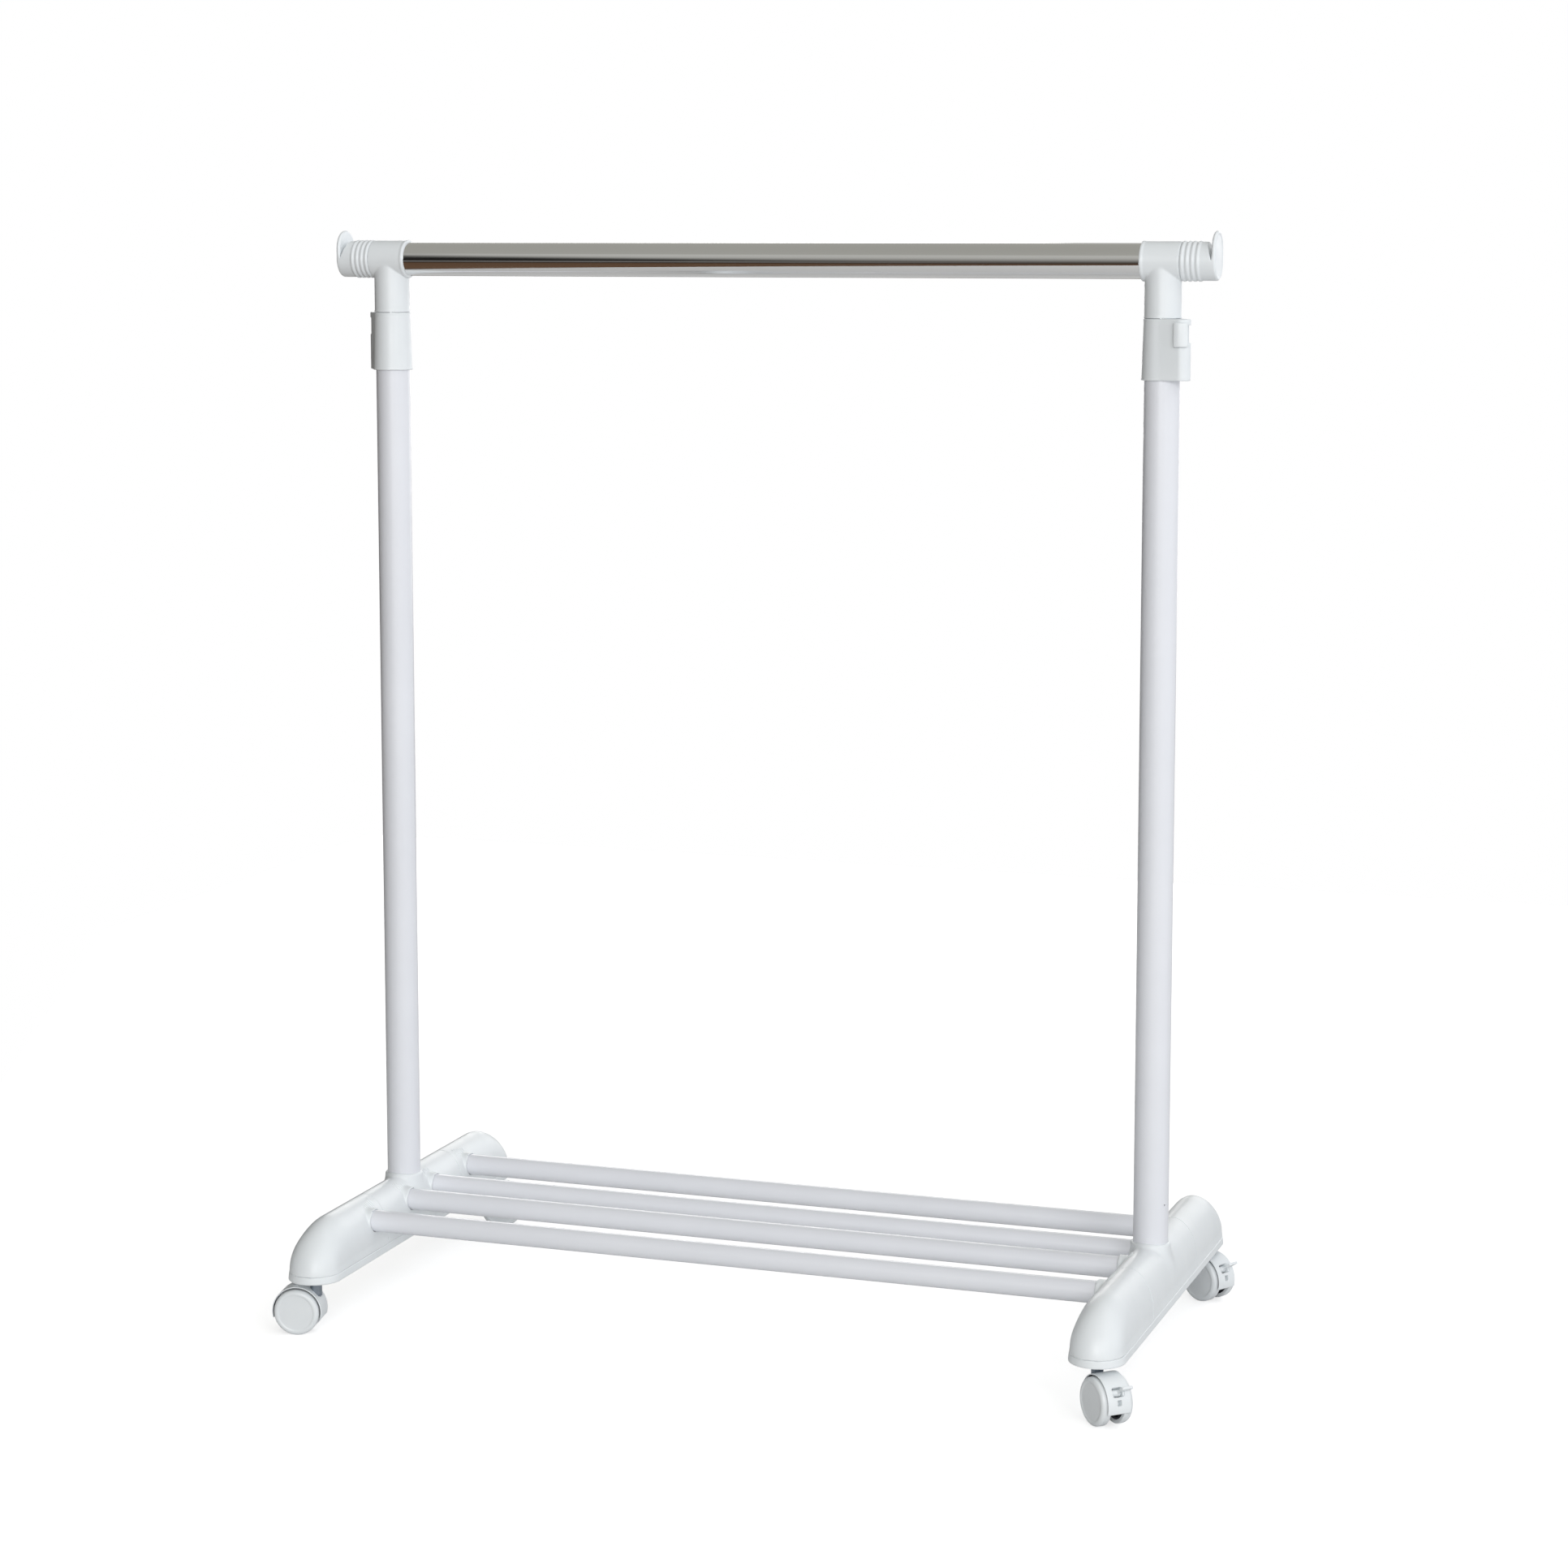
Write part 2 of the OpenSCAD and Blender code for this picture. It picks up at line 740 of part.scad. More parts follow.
module wheel(i, w) {
    color(white) at_wheel(i, w)
        difference() {
            rotate_extrude() {
                translate([0, wheel_in]) square([wheel_r, wheel_out - wheel_edge - wheel_in]);
                translate([0, wheel_out - wheel_edge]) square([wheel_r - wheel_edge, wheel_edge]);
                translate([wheel_r - wheel_edge, wheel_out - wheel_edge]) circle(r = wheel_edge, $fn = 32);
            }
            translate([0, 0, -cut]) cylinder(r = wheel_r - tyre_wall, h = wheel_out - wheel_face + cut);
        }
}

module core(i, w) {
    r = wheel_r - tyre_wall;
    low = wheel_in + core_back;
    top = wheel_out - wheel_face;
    color(dark) at_wheel(i, w)
        difference() {
            union() {
                translate([0, 0, low]) cylinder(r = core_hub_r, h = top - low);
                translate([0, 0, top - core_web]) cylinder(r = r, h = core_web);
                translate([0, 0, low]) tube(r, core_rim_t, top - low);
                for (k = [0 : ribs - 1]) rotate([0, 0, k * 360 / ribs])
                    translate([core_hub_r - rib_root, -rib_t / 2, low + cut])
                        cube([r - core_rim_t - core_hub_r + 2 * rib_root, rib_t, top - low - cut]);
            }
            cylinder(r = axle_r + fit, h = top + cut);
        }
}

if (shown("hanging_rail")) hanging_rail();
for (k = [0, 1]) {
    if (shown(str(SIDES[k], "_tee"))) tee(side_of(k));
    if (shown(str(SIDES[k], "_end_cap"))) end_cap(side_of(k));
    if (shown(str(SIDES[k], "_inner_tube"))) inner_tube(side_of(k));
    if (shown(str(SIDES[k], "_post"))) post(side_of(k));
    if (shown(str(SIDES[k], "_lock_collar"))) lock_collar(side_of(k));
    if (shown(str(SIDES[k], "_clamp_lever"))) clamp_lever(side_of(k));
    if (shown(str(SIDES[k], "_foot_hub"))) foot_hub(side_of(k));
}
if (shown("inner_tube_guides")) inner_tube_guides();
if (shown("collar_bushes")) collar_bushes();
if (shown("lock_pads")) lock_pads();
if (shown("lever_pins")) lever_pins();
if (shown("foot_covers")) foot_covers();
if (shown("caster_sockets")) caster_sockets();
if (shown("foot_screws")) foot_screws();
for (i = [0 : 3]) {
    if (shown(str(BARS[i], "_crossbar"))) crossbar(i);
    if (shown(str(ENDS[i], "_toe"))) toe(i);
    if (shown(str(ENDS[i], "_hood"))) hood(i);
    if (shown(str(ENDS[i], "_stem"))) stem(i);
    if (shown(str(ENDS[i], "_axle"))) axle(i);
    for (w = WHEELS) {
        if (shown(str(ENDS[i], "_wheel_", w))) wheel(i, w);
        if (shown(str(ENDS[i], "_core_", w))) core(i, w);
    }
}
for (b = BRAKED) if (shown(str(ENDS[b], "_brake"))) brake(b);
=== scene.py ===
"""Looks of a rolling clothes rack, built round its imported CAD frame.

Shapes are worked out in millimetres, each in a local frame. to_world() turns and places them in the row
frame, and piece() makes the mesh in metres.
"""

import json
import math

import bpy
import numpy as np
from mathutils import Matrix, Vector


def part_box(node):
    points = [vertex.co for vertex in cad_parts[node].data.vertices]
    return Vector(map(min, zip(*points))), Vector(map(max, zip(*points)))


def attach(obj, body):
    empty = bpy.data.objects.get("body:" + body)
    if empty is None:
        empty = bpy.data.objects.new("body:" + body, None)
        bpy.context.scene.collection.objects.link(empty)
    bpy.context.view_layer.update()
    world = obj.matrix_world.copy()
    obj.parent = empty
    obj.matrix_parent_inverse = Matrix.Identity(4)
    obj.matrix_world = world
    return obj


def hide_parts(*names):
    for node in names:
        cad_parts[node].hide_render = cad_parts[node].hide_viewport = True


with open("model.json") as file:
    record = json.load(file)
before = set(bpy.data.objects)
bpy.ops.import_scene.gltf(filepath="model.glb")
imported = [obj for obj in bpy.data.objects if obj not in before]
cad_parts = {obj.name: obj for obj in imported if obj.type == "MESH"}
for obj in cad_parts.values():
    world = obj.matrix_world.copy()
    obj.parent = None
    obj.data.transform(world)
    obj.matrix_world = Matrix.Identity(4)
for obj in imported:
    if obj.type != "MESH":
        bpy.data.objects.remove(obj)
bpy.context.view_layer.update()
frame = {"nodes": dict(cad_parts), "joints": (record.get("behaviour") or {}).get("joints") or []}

MM = 0.001
SHARP = math.radians(38)
ENDS = ("front_left", "front_right", "rear_left", "rear_right")
SIDES = {"left": -1, "right": 1}
JOINTS = {j["name"]: j for j in frame["joints"]}


# ---------- places taken from the frame, in millimetres ----------

def span(node, axis):
    """Lowest and highest coordinate of a node along an axis."""
    low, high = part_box(node)
    return low[axis] / MM, high[axis] / MM


def middle(node, axis):
    low, high = span(node, axis)
    return (low + high) / 2


def half_width(node, axis):
    low, high = span(node, axis)
    return (high - low) / 2


post_x = middle("right_post", 0)
post_r = half_width("right_post", 0)
rail_z = middle("hanging_rail", 2)
rail_r = half_width("hanging_rail", 2)
bar_z = middle("front_crossbar", 2)
bar_r = half_width("front_crossbar", 2)
bar_outer = middle("rear_crossbar", 1)
bar_inner = middle("rear_inner_crossbar", 1)
foot_z, cover_z = span("foot_covers", 2)
foot_half = span("foot_covers", 1)[1]
foot_r = span("foot_covers", 0)[1] - post_x
foot_top = span("front_left_toe", 2)[1]
hub_half = -span("front_left_toe", 1)[1]
collar_z, collar_top = span("right_lock_collar", 2)
collar_h = collar_top - collar_z
leg_low = span("right_tee", 2)[0]
tee_in = post_x - span("right_tee", 0)[0]
tee_out = span("right_tee", 0)[1] - post_x
cap_end = span("right_end_cap", 0)[1] - post_x
caster_y = JOINTS["rear_right_swivel_hinge"]["pos_m"][1] / MM
wheel_r = JOINTS["rear_right_roller_1_hinge"]["pos_m"][2] / MM


# ---------- distance functions, which take arrays of coordinates ----------

def smooth_min(a, b, k):
    """Union of two distances with a fillet about k wide."""
    h = np.clip(0.5 + 0.5 * (b - a) / k, 0, 1)
    return b + (a - b) * h - k * h * (1 - h)


def smooth_max(a, b, k):
    """Intersection of two distances with an edge rounded over about k."""
    return -smooth_min(-a, -b, k)


def slab(v, low, high):
    return np.maximum(low - v, v - high)


def true_distance(implicit, step=0.05):
    """An implicit function divided by its gradient, which is close to a distance near its surface."""
    def distance(x, y, z):
        f = implicit(x, y, z)
        gx = (implicit(x + step, y, z) - f) / step
        gy = (implicit(x, y + step, z) - f) / step
        gz = (implicit(x, y, z + step) - f) / step
        return f / np.maximum(np.sqrt(gx * gx + gy * gy + gz * gz), 1e-3)
    return distance


# ---------- meshes ----------

def graded(low, high, step, fine_step=None, fine=()):
    """Grid coordinates a step apart, closer within the fine spans."""
    out = [low]
    while out[-1] < high:
        v = out[-1]
        near = any(a - step <= v <= b for a, b in fine)
        out.append(v + (fine_step if near else step))
    return np.array(out)


def surface(distance, xs, ys, zs):
    """Points and quads where distance(x, y, z) is 0, by surface nets on a grid."""
    grid = np.meshgrid(xs, ys, zs, indexing="ij")
    d = distance(*grid)
    cells = [s - 1 for s in d.shape]

    def corner(offset):
        return tuple(slice(o, o + n) for o, n in zip(offset, cells))

    corners = [(i, j, k) for i in (0, 1) for j in (0, 1) for k in (0, 1)]
    count = sum((d[corner(c)] < 0).astype(np.int8) for c in corners)
    mixed = (count > 0) & (count < 8)
    index = np.full(cells, -1)
    index[mixed] = np.arange(mixed.sum())
    points = np.zeros((int(mixed.sum()), 3))
    hits = np.zeros(len(points))
    for axis in range(3):
        for p, q in ((0, 0), (0, 1), (1, 0), (1, 1)):
            start = [0, 0, 0]
            start[(axis + 1) % 3], start[(axis + 2) % 3] = p, q
            end = list(start)
            end[axis] = 1
            d0, d1 = d[corner(start)][mixed], d[corner(end)][mixed]
            crossed = (d0 < 0) != (d1 < 0)
            share = np.where(crossed, d0 / np.where(crossed, d0 - d1, 1), 0)
            for c in range(3):
                g0, g1 = grid[c][corner(start)][mixed], grid[c][corner(end)][mixed]
                points[:, c] += np.where(crossed, g0 + share * (g1 - g0), 0)
            hits += crossed
    points /= hits[:, None]

    quads = []
    for axis in range(3):
        b, c = (axis + 1) % 3, (axis + 2) % 3
        inner = [slice(None)] * 3
        inner[axis], inner[b], inner[c] = slice(0, cells[axis]), slice(1, cells[b]), slice(1, cells[c])
        ahead = list(inner)
        ahead[axis] = slice(1, cells[axis] + 1)
        d0, d1 = d[tuple(inner)], d[tuple(ahead)]

        def cell(back_b, back_c):
            at = list(inner)
            at[b] = slice(1 - back_b, cells[b] - back_b)
            at[c] = slice(1 - back_c, cells[c] - back_c)
            return index[tuple(at)]

        ring = np.stack([cell(1, 1), cell(0, 1), cell(0, 0), cell(1, 0)], axis=-1)
        quads.append(ring[(d0 < 0) & (d1 >= 0)])
        quads.append(ring[(d0 >= 0) & (d1 < 0)][:, ::-1])
    quads = np.concatenate(quads)

    reach = 0.5 * min(xs[1] - xs[0], zs[1] - zs[0])
    nudge = 0.02
    for _ in range(3):
        d0 = distance(*points.T)
        gradient = np.stack([
            (distance(*(points + nudge * a).T) - distance(*(points - nudge * a).T)) / (2 * nudge)
            for a in np.eye(3)
        ], axis=1)
        move = (d0 / np.maximum((gradient ** 2).sum(axis=1), 0.25))[:, None] * gradient
        length = np.maximum(np.linalg.norm(move, axis=1, keepdims=True), 1e-9)
        points = points - move * np.minimum(1, reach / length)
    return points, quads


def joined(*parts):
    """One shape from several (points, faces) pairs; faces are lists or arrays."""
    points, faces, base = [], [], 0
    for p, f in parts:
        points.append(np.asarray(p, float))
        faces += [[int(i) + base for i in face] for face in f]
        base += len(p)
    return np.concatenate(points), faces


def to_world(shape, origin=(0, 0, 0), turn=0.0, flip_x=False, flip_y=False):
    """A local shape mirrored, turned about Z by degrees and moved to its origin."""
    points, faces = shape
    points = np.array(points, float)
    points[:, 0] *= -1 if flip_x else 1
    points[:, 1] *= -1 if flip_y else 1
    if flip_x != flip_y:
        faces = [list(face)[::-1] for face in faces]
    c, s = math.cos(math.radians(turn)), math.sin(math.radians(turn))
    x, y = points[:, 0].copy(), points[:, 1].copy()
    points[:, 0], points[:, 1] = c * x - s * y, s * x + c * y
    return points + np.array(origin, float), faces


def piece(name, shape, body, material, replaces=()):
    """A mesh object of a shape in millimetres, in the row frame, which rides on a body."""
    points, faces = shape
    mesh = bpy.data.meshes.new(name)
    mesh.from_pydata((np.asarray(points) * MM).tolist(), [], [list(map(int, f)) for f in faces])
    mesh.validate()
    mesh.shade_smooth()
    mesh.set_sharp_from_angle(angle=SHARP)
    mesh.materials.append(material)
    made = bpy.data.objects.new(name, mesh)
    bpy.context.scene.collection.objects.link(made)
    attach(made, body)
    if replaces:
        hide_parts(*replaces)


def lathe(profile, segments=96):
    """A closed solid of revolution about Y from (radius, y) points, from one axis end to the other."""
    profile = np.array(profile, float)
    points, faces = [], []
    turn = 2 * math.pi / segments
    rows = []
    for r, y in profile:
        if r < 1e-6:
            rows.append([len(points)] * segments)
            points.append((0, y, 0))
            continue
        rows.append(list(range(len(points), len(points) + segments)))
        points += [(r * math.cos(k * turn), y, r * math.sin(k * turn)) for k in range(segments)]
    for a, b in zip(rows, rows[1:]):
        for k in range(segments):
            n = (k + 1) % segments
            ring = [a[k], b[k], b[n], a[n]]
            faces.append([v for i, v in enumerate(ring) if v != ring[i - 1]])
    return np.array(points), faces


def arc(centre, r, start, end, steps=6):
    """Points of a round corner, from one angle in degrees to another."""
    return [
        (centre[0] + r * math.cos(math.radians(start + (end - start) * k / steps)),
         centre[1] + r * math.sin(math.radians(start + (end - start) * k / steps)))
        for k in range(steps + 1)
    ]


def bead(path, r, sides=8):
    """A thin round ridge that tapers to its ends, along a path of points."""
    path = np.array(path, float)
    points, faces = [], []
    tangents = np.gradient(path, axis=0)
    for i, (p, t) in enumerate(zip(path, tangents)):
        t = t / np.linalg.norm(t)
        u = np.cross(t, (0, 1, 0))
        u /= np.linalg.norm(u)
        v = np.cross(t, u)
        size = r * math.sqrt(max(0.02, 1 - (2 * i / (len(path) - 1) - 1) ** 2))
        for k in range(sides):
            a = 2 * math.pi * k / sides
            points.append(p + size * (math.cos(a) * u + math.sin(a) * v))
    for i in range(len(path) - 1):
        for k in range(sides):
            n = (k + 1) % sides
            faces.append([i * sides + k, i * sides + n, (i + 1) * sides + n, (i + 1) * sides + k])
    last = (len(path) - 1) * sides
    faces.append(list(range(sides))[::-1])
    faces.append([last + k for k in range(sides)])
    return np.array(points), faces


# ---------- materials ----------

class Nodes:
    """Short calls for building one material's node tree."""

    def __init__(self, name):
        self.material = bpy.data.materials.new(name)
        self.material.use_nodes = True
        self.tree = self.material.node_tree
        self.shader = self.tree.nodes["Principled BSDF"]
        self.coords = self.tree.nodes.new("ShaderNodeTexCoord").outputs["Object"]

    def set(self, **values):
        for key, value in values.items():
            self.shader.inputs[key.replace("_", " ")].default_value = value

    def link(self, output, target):
        self.tree.links.new(output, target)

    def to_shader(self, output, socket):
        self.link(output, self.shader.inputs[socket])

    def noise(self, scale, detail=4.0, roughness=0.5, stretch=(1, 1, 1)):
        """Noise with features about 1 / scale metres wide, stretched along the axes."""
        mapping = self.tree.nodes.new("ShaderNodeMapping")
        mapping.inputs["Scale"].default_value = stretch
        self.link(self.coords, mapping.inputs["Vector"])
        noise = self.tree.nodes.new("ShaderNodeTexNoise")
        noise.inputs["Scale"].default_value = scale
        noise.inputs["Detail"].default_value = detail
        noise.inputs["Roughness"].default_value = roughness
        self.link(mapping.outputs["Vector"], noise.inputs["Vector"])
        return noise.outputs["Fac"]

    def ramp(self, value, stops):
        """A colour ramp; stops are (place, grey or colour) pairs."""
        ramp = self.tree.nodes.new("ShaderNodeValToRGB")
        elements = ramp.color_ramp.elements
        while len(elements) < len(stops):
            elements.new(0.5)
        for element, (place, colour) in zip(elements, stops):
            element.position = place
            grey = isinstance(colour, (int, float))
            element.color = (colour, colour, colour, 1) if grey else (*colour, 1)
        self.link(value, ramp.inputs["Fac"])
        return ramp.outputs["Color"]

    def span(self, value, low, high):
        """A value between 0 and 1 mapped to a range."""
        node = self.tree.nodes.new("ShaderNodeMapRange")
        node.inputs["From Min"].default_value = 0.3
        node.inputs["From Max"].default_value = 0.7
        node.inputs["To Min"].default_value = low
        node.inputs["To Max"].default_value = high
        self.link(value, node.inputs["Value"])
        return node.outputs["Result"]

    def bump(self, height, distance, strength=1.0, before=None):
        node = self.tree.nodes.new("ShaderNodeBump")
        node.inputs["Strength"].default_value = strength
        node.inputs["Distance"].default_value = distance
        self.link(height, node.inputs["Height"])
        if before is not None:
            self.link(before, node.inputs["Normal"])
        return node.outputs["Normal"]


def moulded_plastic(name, light, dark, roughness):
    """Satin moulded plastic: faint flow clouds, a fine grain and uneven gloss."""
    n = Nodes(name)
    n.set(IOR=1.49)
    clouds = n.noise(28, 3, 0.55)
    n.to_shader(n.ramp(clouds, [(0.3, dark), (0.7, light)]), "Base Color")
    n.to_shader(n.span(n.noise(95, 4), roughness - 0.05, roughness + 0.06), "Roughness")
    grain = n.bump(n.noise(1900, 3, 0.6), 0.00003, 0.35)
    n.to_shader(n.bump(n.noise(60, 2), 0.0002, 0.25, before=grain), "Normal")
    return n.material


def powder_coat(name, light, dark):
    """Painted tube: a fine orange-peel skin and slow changes of tone."""
    n = Nodes(name)
    n.set(IOR=1.5, Coat_Weight=0.25, Coat_Roughness=0.22)
    n.to_shader(n.ramp(n.noise(14, 3), [(0.3, dark), (0.7, light)]), "Base Color")
    n.to_shader(n.span(n.noise(120, 3), 0.3, 0.42), "Roughness")
    peel = n.bump(n.noise(650, 2, 0.4), 0.00006, 0.4)
    n.to_shader(peel, "Normal")
    return n.material


def chrome_plate(name, stretch):
    """Polished chrome with faint streaks drawn along the tube."""
    n = Nodes(name)
    n.set(Metallic=1.0)
    haze = n.noise(9, 4, 0.6, stretch)
    n.to_shader(n.ramp(haze, [(0.25, (0.76, 0.765, 0.77)), (0.75, (0.86, 0.86, 0.855))]), "Base Color")
    streaks = n.noise(240, 3, 0.6, stretch)
    n.to_shader(n.span(streaks, 0.06, 0.13), "Roughness")
    n.to_shader(n.bump(streaks, 0.000012, 0.3), "Normal")
    return n.material


def zinc_steel(name):
    """Zinc-plated steel, blue-grey, with turning marks round the vertical axis."""
    n = Nodes(name)
    n.set(Metallic=0.9)
    n.to_shader(n.ramp(n.noise(160, 4), [(0.3, (0.2, 0.23, 0.27)), (0.7, (0.33, 0.37, 0.42))]), "Base Color")
    marks = n.noise(900, 2, 0.5, (0.2, 0.2, 3))
    n.to_shader(n.span(marks, 0.28, 0.45), "Roughness")
    n.to_shader(n.bump(marks, 0.00003, 0.4), "Normal")
    return n.material


def dark_plastic(name):
    """Near-black moulded plastic with a slight navy cast."""
    n = Nodes(name)
    n.set(IOR=1.5)
    tones = [(0.3, (0.008, 0.009, 0.016)), (0.7, (0.02, 0.023, 0.036))]
    n.to_shader(n.ramp(n.noise(80, 3), tones), "Base Color")
    n.to_shader(n.span(n.noise(300, 3), 0.38, 0.55), "Roughness")
    n.to_shader(n.bump(n.noise(1500, 2), 0.00003, 0.4), "Normal")
    return n.material


white_plastic = moulded_plastic("white_plastic", (0.79, 0.823, 0.84), (0.765, 0.80, 0.818), 0.36)
wheel_plastic = moulded_plastic("wheel_plastic", (0.76, 0.79, 0.805), (0.73, 0.762, 0.78), 0.33)
tube_paint = powder_coat("tube_paint", (0.772, 0.787, 0.828), (0.747, 0.762, 0.803))
rail_chrome = chrome_plate("rail_chrome", (0.03, 1, 1))
tube_chrome = chrome_plate("tube_chrome", (1, 1, 0.03))
steel = zinc_steel("zinc_steel")
black = dark_plastic("dark_plastic")


# ---------- feet ----------

arch_z = foot_z + 14
flank_in = 1.6
arch_r = foot_r - flank_in
arch_h = foot_top - arch_z
crown_y = 152
nose_low = foot_z + 1
seam = 0.05
boss_r = bar_r + 1.6
boss_out = 20.4
boss_in = 7
blend_r = post_r + 2.2
blend_top = foot_top + 1.5
thin = 0.004
socket_r = 6.6
socket_low = 62
stem_room = 4.4
bore_r = post_r - 0.6
bore_low = 70
rib_count = 6
rib_pitch = 3.1
rib_r = 0.65
cover_taper = 0.78
screw_places = (-140, 0, 140)
head_r = 4.4
head_h = 3
stem_top = span("front_left_stem", 2)[1] + 0.6


def skin(x, y, z):
    """Zero on the foot's outer skin, with a rounded nose at both ends."""
    beyond = np.abs(y)
    wide = (np.maximum(beyond - caster_y, 0) / foot_r) ** 2
    tall = (np.maximum(beyond - crown_y, 0) / (foot_half - crown_y)) ** 2
    w = np.sqrt(np.clip(1 - wide, thin, 1))
    h = np.sqrt(np.clip(1 - tall, thin, 1))
    level = nose_low + (z - nose_low) / h
    up = np.maximum(level - arch_z, 0) / arch_h
    flank = np.clip((arch_z - level) / (arch_z - foot_z), 0, 1.1)
    side = np.abs(x) / w / (arch_r + flank_in * flank)
    return np.hypot(side, up) - 1


skin_distance = true_distance(skin)


def socket(x, y, z, bar_y):
    """The boss round a crossbar; inboard is +X."""
    ring = np.hypot(y - bar_y, z - bar_z) - boss_r
    return smooth_max(ring, slab(x, boss_in, boss_out), 1.2)


def bar_hole(x, y, z, bar_y):
    """A shallow hole round a crossbar, which leaves a thin dark line."""
    return np.maximum(np.hypot(y - bar_y, z - bar_z) - bar_r - 0.3, boss_out - 2.5 - x)


def toe_distance(x, y, z):
    d = skin_distance(x, y, z)
    d = smooth_min(d, socket(x, y, z, bar_outer), 1.6)
    d = smooth_max(d, -bar_hole(x, y, z, bar_outer), 0.3)
    d = smooth_max(d, cover_z + seam - z, 0.25)
    at_stem = np.hypot(x, y - caster_y)
    d = np.maximum(d, -np.maximum(at_stem - socket_r, z - socket_low))
    d = np.maximum(d, -np.maximum(at_stem - stem_room, z - stem_top))
    return smooth_max(d, hub_half + seam - y, 0.5)


def hub_distance(x, y, z):
    d = skin_distance(x, y, z)
    blend = smooth_max(np.hypot(x, y) - blend_r, z - blend_top, 3)
    d = smooth_min(d, blend, 6)
    for bar_y in (-bar_inner, bar_inner):
        d = smooth_min(d, socket(x, y, z, bar_y), 1.6)
        d = smooth_max(d, -bar_hole(x, y, z, bar_y), 0.3)
    d = smooth_max(d, cover_z + seam - z, 0.25)
    d = np.maximum(d, -np.maximum(np.hypot(x, y) - bore_r, bore_low - z))
    return smooth_max(d, np.abs(y) - hub_half + seam, 0.5)


def grip_ribs(bar_y):
    """Small ridges over the shoulder, above a crossbar's socket; each is a little shorter than the last."""
    ribs = []
    for k in range(rib_count):
        y = bar_y - 5 + (k - (rib_count - 1) / 2) * rib_pitch
        path = [
            (arch_r * math.cos(a), y + 1.5 * (a - 1.1), arch_z + arch_h * math.sin(a))
            for a in np.radians(np.linspace(50, 76 - 2 * k, 9))
        ]
        ribs.append(bead(path, rib_r))
    return ribs


def cover_distance(x, y, z):
    edge = foot_r - cover_taper * (z - foot_z) / (cover_z - foot_z)
    plan = np.hypot(x, np.maximum(np.abs(y) - caster_y, 0)) - edge
    d = smooth_max(plan, foot_z - z, 1.4)
    d = smooth_max(d, z - cover_z + seam, 0.25)
    for screw_y in screw_places:
        head = np.maximum(np.hypot(x, y - screw_y) - head_r, z - foot_z - head_h)
        d = smooth_max(d, -head, 0.4)
    for stem_y in (-caster_y, caster_y):
        d = smooth_max(d, socket_r + 0.1 - np.hypot(x, y - stem_y), 0.5)
    return d


def build_feet():
    cross = graded(-foot_r - 2, foot_r + 2, 1.5, 0.8, [(13, 22)])
    tall = graded(cover_z - 2, blend_top + 3, 1.25, 0.8, [(cover_z - 1, cover_z + 1)])
    near_bar = (bar_outer - boss_r - 1.5, bar_outer + boss_r + 1.5)
    along = graded(hub_half - 1.5, foot_half + 2, 1.6, 0.8, [(hub_half - 1, hub_half + 2), near_bar])
    toe = joined(surface(toe_distance, cross, along, tall), *grip_ribs(bar_outer))
    near_bars = [(s * bar_inner - boss_r - 1.5, s * bar_inner + boss_r + 1.5) for s in (-1, 1)]
    seams = [(s * hub_half - 1.5, s * hub_half + 1.5) for s in (-1, 1)]
    along = graded(-hub_half - 2, hub_half + 2, 1.6, 0.8, near_bars + seams)
    hub = joined(surface(hub_distance, cross, along, tall), *grip_ribs(-bar_inner), *grip_ribs(bar_inner))
    plan = graded(-foot_r - 2, foot_r + 2, 1.3)
    along = graded(-foot_half - 2, foot_half + 2, 1.6)
    cover = surface(cover_distance, plan, along, graded(foot_z - 1.5, cover_z + 1.5, 0.8))
    for side, s in SIDES.items():
        origin = (s * post_x, 0, 0)
        right = side == "right"
        piece(f"{side}_hub_moulding", to_world(hub, origin, flip_x=right), "base",
              white_plastic, [f"{side}_foot_hub"])
        for end in ("front", "rear"):
            shape = to_world(toe, origin, flip_x=right, flip_y=end == "front")
            piece(f"{end}_{side}_toe_moulding", shape, "base", white_plastic,
                  [f"{end}_{side}_toe"])
        piece(f"{side}_foot_cover", to_world(cover, origin), "base", white_plastic,
              ["foot_covers"])


# ---------- tees and end caps; outboard is +X, and the rail's axis is z = 0 ----------

sleeve_r = rail_r + 1.5
leg_r = post_r + 0.5
leg_end = leg_low - rail_z
rest_gap = 0.2
rim_out = 0.45
rim_w = 2.4
hem_out = 0.3
leg_hem = 1.6


def tee_distance(x, y, z):
    ring = np.hypot(y, z)
    sleeve = smooth_max(ring - sleeve_r, slab(x, -tee_in, tee_out), 0.9)
    rim = smooth_max(ring - sleeve_r - rim_out, slab(x, -tee_in, -tee_in + rim_w), 0.8)
    upright = np.hypot(x, y) - leg_r
    leg = smooth_max(upright, slab(z, leg_end + rest_gap, 0), 0.9)
    hem = smooth_max(upright - hem_out, slab(z, leg_end + rest_gap, leg_end + leg_hem), 0.6)
    return smooth_min(smooth_min(sleeve, rim, 0.6), smooth_min(leg, hem, 0.6), 0.5)


cap_r = 16
disc_t = 3.5
disc_x = cap_end - disc_t
disc_rise = 9
disc_edge = 2.2
dish_depth = 0.5
dish_rim = 2.6
ring_count = 4
ring_r = 1.9
ring_pitch = 4.4
ring_sink = 1.1
notch_w = 5.2
notch_depth = 16


